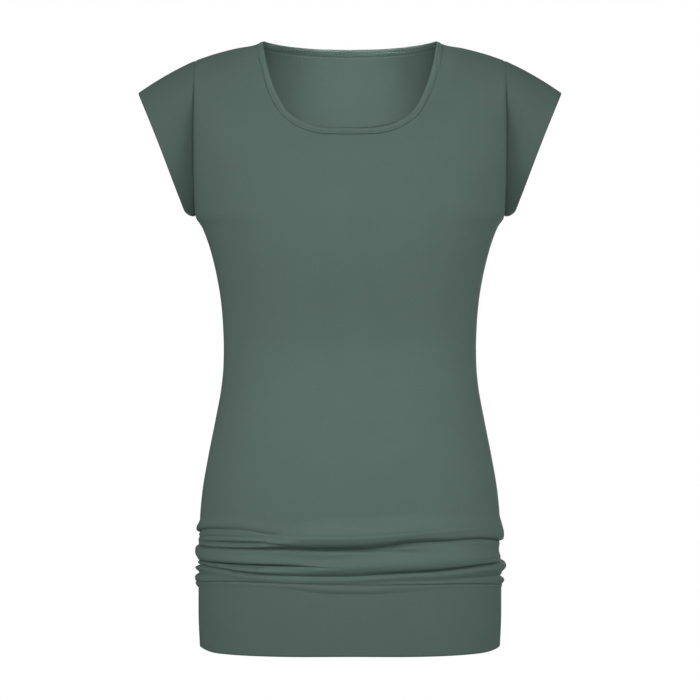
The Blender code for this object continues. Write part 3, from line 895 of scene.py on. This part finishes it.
def buildSleeve(name, hand):
    # a cap sleeve from the armhole ring to the cuff; hand is -1 at the left, 1 at the right
    turn = np.linspace(0, 2 * math.pi, sleeve["columns"], endpoint=False)
    up, out = np.cos(turn), np.sin(turn)
    side = np.where(out >= 0, -1, 1)
    drop = armholeMiddle - armholeHalf * up
    depth = np.where(side < 0, armholeDepth(-1, drop), armholeDepth(1, drop))
    armhole = np.stack(
        [np.full_like(turn, armholeX + body["seamGap"]), side * depth, -drop], axis=1
    )
    ends = (sleeve["cuffTop"], sleeve["cuffBottom"])
    top, bottom = (np.array([end[0], 0, -end[1]]) for end in ends)
    reach = np.where(side < 0, sleeve["cuffFront"], sleeve["cuffBack"])
    cuff = (top + bottom) / 2 + up[:, None] * (top - bottom) / 2
    cuff[:, 0] -= sleeve["cuffBow"] * out**2
    cuff[:, 1] = side * reach * np.abs(out) ** (2 * body["armholeRound"])
    away = unit(np.stack([np.zeros_like(turn), -out, up], axis=1))
    points = np.array(
        [
            armhole + (cuff - armhole) * rise + away * sleeve["fullness"] * 4 * rise * (1 - rise)
            for rise in crowded(sleeve["rows"])
        ]
    )
    facing = clothFacing(points, closed=True)
    outward = 1 if np.sum(facing * away) > 0 else -1
    down = lengthsAlong(points, 0)
    points = dipAlong(points, facing * outward, down, sleeve["seamDip"], sleeve["dipWidth"])
    points[..., 0] *= hand
    outward *= hand
    return buildCloth(
        name, points, outward, sleeve["thickness"], sleevePaintedShadeJersey, closed=True, endLip=True
    )


leftSleeve = buildSleeve("leftSleeveCloth", -1)
rightSleeve = buildSleeve("rightSleeveCloth", 1)
print("sleeves made")

binding = {
    "thickness": 1.7,
    # across from the seam, height over the cloth's face
    "face": (
        (0, -0.85), (0.3, -0.35), (0.7, 0.2), (1.2, 0.45), (1.7, 0.2), (2.1, -0.45), (2.5, -0.15),
        (3, 0.25), (4, 0.45), (5.2, 0.5), (6.3, 0.45), (7, 0.2), (7.4, -0.3), (7.5, -0.85),
    ),
    "quarterPoints": 70,  # points along each quarter of the neck
    "slopeStep": 0.05,  # how far apart the cloth's slope is measured
    "underRidge": 0.6,  # at least this far below the shoulder's ridge
    "middle": (0, -20, 10),  # a point in the opening
    "smoothing": 6,
    "cut": ((0.58, 0.0105), 0.006),
}


def neckFrame(side):
    # points of the neck seam, with the directions out of the cloth and into the opening
    x, drop = neckLine(side, binding["quarterPoints"])
    x, drop = np.concatenate([-x, x[-2::-1]]), np.concatenate([drop, drop[-2::-1]])
    step = binding["slopeStep"]
    under = np.maximum(drop, ridgeDrop(np.abs(x)) + binding["underRidge"])
    depthX = chestDepth(side, x + step, under) - chestDepth(side, x - step, under)
    depthZ = chestDepth(side, x, under - step) - chestDepth(side, x, under + step)
    slope = np.stack([-depthX, np.full_like(x, side * 2 * step), -depthZ], axis=1)
    points = np.stack([x, side * chestDepth(side, x, drop), -drop], axis=1)
    facing = unit(slope)
    facing[[0, -1], 1] = 0
    along = np.gradient(points, axis=0)
    along[[0, -1], :] = (0, 1, 0)
    along = unit(along)
    facing = unit(facing - np.sum(facing * along, axis=1, keepdims=True) * along)
    inward = unit(np.cross(facing, along))
    inward *= np.sign(np.sum(inward * (binding["middle"] - points), axis=1, keepdims=True))
    return points, facing, inward


def smoothRound(vectors):
    for _ in range(binding["smoothing"]):
        vectors = unit(vectors * 2 + np.roll(vectors, 1, axis=0) + np.roll(vectors, -1, axis=0))
    return vectors


front, back = neckFrame(-1), neckFrame(1)
neckSeam, neckFacing, neckInward = (
    np.concatenate([one, other[-2:0:-1]]) for one, other in zip(front, back)
)
neckFacing, neckInward = smoothRound(neckFacing), smoothRound(neckInward)


def buildBinding(name):
    # a folded strip swept along the neck seam: a narrow ridge, a fine groove, a crowned band
    thick, gap = binding["thickness"], body["seamGap"]
    face = [(gap + across, height) for across, height in binding["face"]]
    reverse = [(across, -thick - height) for across, height in face[::-1][1:-1]]
    profile = np.array(face + reverse)
    points = neckSeam[None] + profile[:, :1, None] * neckInward + profile[:, 1:, None] * neckFacing
    points = np.concatenate([points, points[:1]])
    rows, columns = points.shape[0] - 1, points.shape[1]
    uv = clothUv(points, closed=True)
    i, j = gridFaces(rows, columns)
    faces = (i % rows) * columns + j % columns
    mesh = clothMesh(name, points[:rows].reshape(-1, 3), faces, uv[i, j])
    mesh.shade_smooth()
    return addObject(name, mesh, bindingPaintedLightJersey)


neckBinding = buildBinding("neckBindingCloth")
print("neck binding made")

threads = {
    "length": 2.1,
    "width": 0.65,
    "spacing": 2.3,
    "shade": 2.0,  # lighter than the jersey
    "lift": 0.12,  # how far the thread stands clear of the cloth
    "flatness": 0.8,
    "wobble": 0.12,  # radians
    "inputs": {"Roughness": 0.6, "Sheen Weight": 0.2},
    "mottle": 0.4,
    "mottleScale": 900.0,
    "mottleDetail": 2,
    "mottleRoughness": 0.5,
}


def threadMaterial():
    material, nodes, shader = newMaterial("thread")
    tone = mottle(nodes, threads)
    nodes.link(toned(nodes, threads["shade"], tone), shader, "Base Color")
    setInputs(shader, threads["inputs"])
    return material


def stitchTree():
    # sets a short thread on each step of a path, turned along it and away from the cloth
    tree = bpy.data.node_groups.new("stitchRow", "GeometryNodeTree")
    face = tree.interface
    face.new_socket("Path", in_out="INPUT", socket_type="NodeSocketGeometry")
    for name, kind, value in (
        ("Spacing", "NodeSocketFloat", threads["spacing"] * mm),
        ("Thread Length", "NodeSocketFloat", threads["length"] * mm),
        ("Thread Width", "NodeSocketFloat", threads["width"] * mm),
        ("Slant", "NodeSocketFloat", 0.0),
        ("Seed", "NodeSocketInt", 4),
        ("Material", "NodeSocketMaterial", None),
    ):
        socket = face.new_socket(name, in_out="INPUT", socket_type=kind)
        if value is not None:
            socket.default_value = value
    face.new_socket("Geometry", in_out="OUTPUT", socket_type="NodeSocketGeometry")
    nodes = Nodes(tree)
    group = tree.nodes.new("NodeGroupInput")
    given = {socket.name: Value(nodes, socket) for socket in group.outputs}
    curve = nodes.add("GeometryNodeMeshToCurve", {}, {0: given["Path"]})
    row = nodes.add(
        "GeometryNodeResampleCurve",
        {"mode": "LENGTH"},
        {"Curve": curve, "Length": given["Spacing"]},
    )
    ball = nodes.add("GeometryNodeMeshUVSphere", {}, {"Segments": 6, "Rings": 5, "Radius": 0.5})
    width = given["Thread Width"]
    size = nodes.add(
        "ShaderNodeCombineXYZ",
        {},
        {0: given["Thread Length"], 1: width, 2: width * threads["flatness"]},
    )
    thread = nodes.add("GeometryNodeTransform", {}, {"Geometry": ball, "Scale": size})
    along = nodes.add("GeometryNodeInputTangent")
    away = nodes.add(
        "GeometryNodeInputNamedAttribute", {"data_type": "FLOAT_VECTOR"}, {"Name": "away"}
    )
    facing = nodes.add(
        "FunctionNodeAxesToRotation",
        {"primary_axis": "Z", "secondary_axis": "X"},
        {"Primary Axis": away, "Secondary Axis": along},
    )
    number = nodes.add("GeometryNodeInputIndex")
    side = number.math("FLOORED_MODULO", 2) * 2 - 1
    wobble = nodes.add(
        "FunctionNodeRandomValue",
        {"data_type": "FLOAT"},
        {2: -threads["wobble"], 3: threads["wobble"], "Seed": given["Seed"]},
        output=1,
    )
    slant = nodes.add(
        "FunctionNodeAxisAngleToRotation",
        {},
        {"Axis": (0, 0, 1), "Angle": given["Slant"] * side + wobble},
    )
    turned = nodes.add(
        "FunctionNodeRotateRotation", {"rotation_space": "LOCAL"}, {0: facing, 1: slant}
    )
    placed = nodes.add(
        "GeometryNodeInstanceOnPoints", {}, {"Points": row, "Instance": thread, "Rotation": turned}
    )
    plain = nodes.add("GeometryNodeRealizeInstances", {}, {0: placed})
    done = nodes.add(
        "GeometryNodeSetMaterial", {}, {"Geometry": plain, "Material": given["Material"]}
    )
    nodes.link(done, tree.nodes.new("NodeGroupOutput"), 0)
    return tree


stitches = stitchTree()
thread = threadMaterial()


def sewRow(name, path, away, slant=0.0, spacing=None, length=None, closed=False):
    # a row of stitches along a path of points, each with its way out of the cloth
    mesh = bpy.data.meshes.new(name)
    count = len(path)
    edges = [(i, (i + 1) % count) for i in range(count if closed else count - 1)]
    mesh.from_pydata(((path + away * threads["lift"]) * mm).tolist(), edges, [])
    mesh.attributes.new("away", "FLOAT_VECTOR", "POINT").data.foreach_set(
        "vector", away.reshape(-1).astype(np.float32)
    )
    guide = addToScene(name + "Path", mesh)
    sewing = guide.modifiers.new("sewing", "NODES")
    sewing.node_group = stitches
    wanted = {
        "Slant": slant,
        "Spacing": (spacing or threads["spacing"]) * mm,
        "Thread Length": (length or threads["length"]) * mm,
        "Material": thread,
    }
    for item in stitches.interface.items_tree:
        if item.in_out == "INPUT" and item.name in wanted:
            sewing[item.identifier] = wanted[item.name]
    evaluated = guide.evaluated_get(bpy.context.evaluated_depsgraph_get())
    sewn = bpy.data.meshes.new_from_object(evaluated)
    bpy.data.objects.remove(guide)
    sewn.name = name
    return addObject(name, sewn, thread)


# a zigzag on the reverse of the neck binding, and a straight row on the cloth beside it
neckSewing = {
    "zigzag": {"slant": 0.5, "spacing": 4.4, "length": 3.2},
    "zigzagFromSeam": 3.4,
    "zigzagClear": 0.5,
    "row": {"spacing": 3.6},
    "rowFromSeam": 2.6,
    "rowClear": 0.15,
}
reverse = neckSeam + neckInward * neckSewing["zigzagFromSeam"]
reverse = reverse - neckFacing * (binding["thickness"] + neckSewing["zigzagClear"])
neckZigzag = sewRow("neckZigzag", reverse, -neckFacing, **neckSewing["zigzag"], closed=True)
reverse = neckSeam - neckInward * neckSewing["rowFromSeam"]
reverse = reverse - neckFacing * (panel["thickness"] + neckSewing["rowClear"])
neckRow = sewRow("neckRow", reverse, -neckFacing, **neckSewing["row"], closed=True)

seamTape = {"width": 4.6, "columns": 5, "thickness": 0.7, "clear": 0.1}


def buildTape(name, line, away):
    # the two edges of a seam, sewn together and pressed flat against the inside
    offsets = np.linspace(-0.5, 0.5, seamTape["columns"])[None, :, None] * seamTape["width"]
    lift = away * (seamTape["clear"] + seamTape["thickness"])
    points = line[:, None] + offsets * np.array([0, 1, 0]) + lift
    outward = 1 if np.sum(clothFacing(points) @ away) > 0 else -1
    return buildCloth(name, points, outward, seamTape["thickness"], panelJersey)


# overlocked seams inside: where the hem band is sewn on, down both sides and along the shoulders
overlock = {
    "band": {"slant": 1.1, "spacing": 2.2, "length": 4.2},
    "side": {"slant": 1.1, "spacing": 2.4, "length": 4.2},
    "halfBandPoints": 161,
    # how far its ends stay clear of what they run up to, and the points along it
    "sideEnds": (6, 5),
    "sidePoints": 220,
    "bandEnds": (3, 2),
    "bandPoints": 40,
    "shoulderEnds": (4, 3),
    "shoulderPoints": 60,
}


def spacedBetween(start, end, name):
    fromStart, toEnd = overlock[name + "Ends"]
    return np.linspace(start + fromStart, end - toEnd, overlock[name + "Points"])


ringShare = np.linspace(-1, 1, overlock["halfBandPoints"])
bandLine, bandAway = [], []
for side, share in ((-1, ringShare[:-1]), (1, ringShare[:0:-1])):
    seamDrop = bandSeamDrop(placeRound(side, share))
    bandLine.append(bodyPoints(side, share, seamDrop))
    bandAway.append(-sectionFacing(side, share, seamDrop))
bandLine, bandAway = np.concatenate(bandLine), np.concatenate(bandAway)
bandLine = bandLine + bandAway * (hemBand["topDip"] + hemBand["thickness"])
bandOverlock = sewRow("bandOverlock", bandLine, bandAway, **overlock["band"], closed=True)

sideOverlocks, seamTapes, bandTapes = [], [], []
down = np.array([0.0, 0.0, -1.0])
for name, hand, place in (("leftOverlock", -1.0, 0.0), ("rightOverlock", 1.0, 4.0)):
    inside = np.array([-hand, 0.0, 0.0])
    seamDrop, hemEdge = (float(read(np.array(place))) for read in (bandSeamDrop, hemDrop))
    drops = spacedBetween(underarmDrop, seamDrop, "side")
    line = bodyPoints(-1, np.full_like(drops, hand), drops)
    line = line + inside * (panel["sideDip"] + panel["thickness"])
    seamTapes.append(buildTape(name + "Edges", line, inside))
    line = line + inside * seamTape["thickness"]
    away = np.tile(inside, (len(drops), 1))
    sideOverlocks.append(sewRow(name, line, away, **overlock["side"]))
    drops = spacedBetween(seamDrop, hemEdge, "band")
    line = bodyPoints(-1, np.full_like(drops, hand), drops)
    line = line + inside * (hemBand["sideDip"] + hemBand["thickness"])
    bandTapes.append(buildTape(name + "Band", line, inside))
    x = spacedBetween(neckCorner, armholeX, "shoulder")
    line = np.stack([hand * x, 0 * x, -ridgeDrop(x)], axis=1)
    line = line + down * (panel["topDip"] + panel["thickness"])
    seamTapes.append(buildTape(name + "Shoulder", line, down))
print("sewing made")

neckSews, bandSews = [neckZigzag, neckRow], [bandOverlock, *bandTapes]
# each piece with the node that it stands for, its cut, how it is held and the sewing on it
for piece, node, slot, (flat, area), held, sewing in (
    (frontCloth, "front", "jersey", panel["frontCut"], "hung", [*sideOverlocks, *seamTapes]),
    (backCloth, "back", "jersey", panel["backCut"], "hung", []),
    (leftSleeve, "sleeve_left", "jersey", sleeve["cut"], "hung", []),
    (rightSleeve, "sleeve_right", "jersey", sleeve["cut"], "hung", []),
    (bandFront, "hem_band_front", "band_jersey", hemBand["cut"], "stretched", bandSews),
    (bandBack, "hem_band_back", "band_jersey", hemBand["cut"], "stretched", []),
    (neckBinding, "neck_binding", "binding_jersey", binding["cut"], "folded", neckSews),
):
    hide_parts(node)
    for each in (piece, *sewing):
        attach(each, "root")
print("pieces fastened to the part")

studio = {
    "cameraPlace": (0.0001, -3.0, -0.33825),  # metres
    "viewWidth": 0.77,  # metres across the picture at the garment
    "sensorWidth": 36,
    "floorDrop": 1.4,  # metres, the height that the shoulders are worn at
    "floorReach": 1.8,
    "floor": {"Base Color": (0.8, 0.8, 0.8, 1), "Roughness": 0.9},
    "sky": 0.06,  # light from all round
}
# place, where it points, width and height, watts, spread in degrees
lights = {
    "frontLight": ((0.1, -2.6, -0.25), (0, 0, -0.33), (0.8, 0.8), 1.9, 42),
    "topLight": ((0.1, -1.5, 1.3), (0, -0.1, -0.56), (0.8, 0.4), 0.28, 32),
    "leftLight": ((-2.1, -1.5, 0.8), (0, 0, -0.42), (0.9, 1.1), 2.5, 48),
    "rightLight": ((2.1, -1.5, 0.8), (0, 0, -0.42), (0.9, 1.1), 2.2, 48),
    "leftSideLight": ((-2.4, -0.5, 0.1), (0, 0, -0.35), (1.0, 2.0), 6.0, 180),
    "rightSideLight": ((2.4, -0.5, 0.1), (0, 0, -0.35), (1.0, 2.0), 6.0, 180),
    "backLight": ((0.3, 2.6, -0.45), (0, 0, -0.35), (1.3, 1.1), 36.0, 180),
    "neckLight": ((0, -1.3, 0.72), (0, 0.06, -0.035), (0.1, 0.1), 0.07, 8),
}

camera = addToScene("camera", bpy.data.cameras.new("camera"))
camera.location = studio["cameraPlace"]
camera.rotation_euler = (math.pi / 2, 0, 0)
camera.data.sensor_width = studio["sensorWidth"]
camera.data.lens = studio["sensorWidth"] * -studio["cameraPlace"][1] / studio["viewWidth"]
bpy.context.scene.camera = camera


def addLight(name, place, target, size, power, spread):
    light = bpy.data.lights.new(name, "AREA")
    light.shape, light.size, light.size_y = "RECTANGLE", *size
    light.energy = power
    light.spread = math.radians(spread)
    made = addToScene(name, light)
    made.location = place
    way = np.array(target, float) - np.array(place, float)
    tilt = math.atan2(math.hypot(way[0], way[1]), -way[2])
    made.rotation_euler = (tilt, 0, math.atan2(way[1], way[0]) - math.pi / 2)


for name, lamp in lights.items():
    addLight(name, *lamp)

# the white paper behind shows pure white, and lights the garment less than it shows
world = bpy.data.worlds.new("studio")
world.use_nodes = True
surround = Nodes(world.node_tree)
seen = surround.add("ShaderNodeLightPath")
background = world.node_tree.nodes["Background"]
background.inputs["Color"].default_value = (1, 1, 1, 1)
surround.link(studio["sky"] + seen * (1 - studio["sky"]), background, "Strength")
bpy.context.scene.world = world
bpy.context.scene.view_settings.view_transform = "Standard"

floorMesh = bpy.data.meshes.new("floor")
reach, low = studio["floorReach"], -studio["floorDrop"]
corners = [(x * reach, y * reach, low) for x, y in ((-1, -1), (1, -1), (1, 1), (-1, 1))]
floorMesh.from_pydata(corners, [], [(0, 1, 2, 3)])
floorMaterial, _, floorShader = newMaterial("paleFloor")
setInputs(floorShader, studio["floor"])
addObject("floor", floorMesh, floorMaterial)
print("studio made")
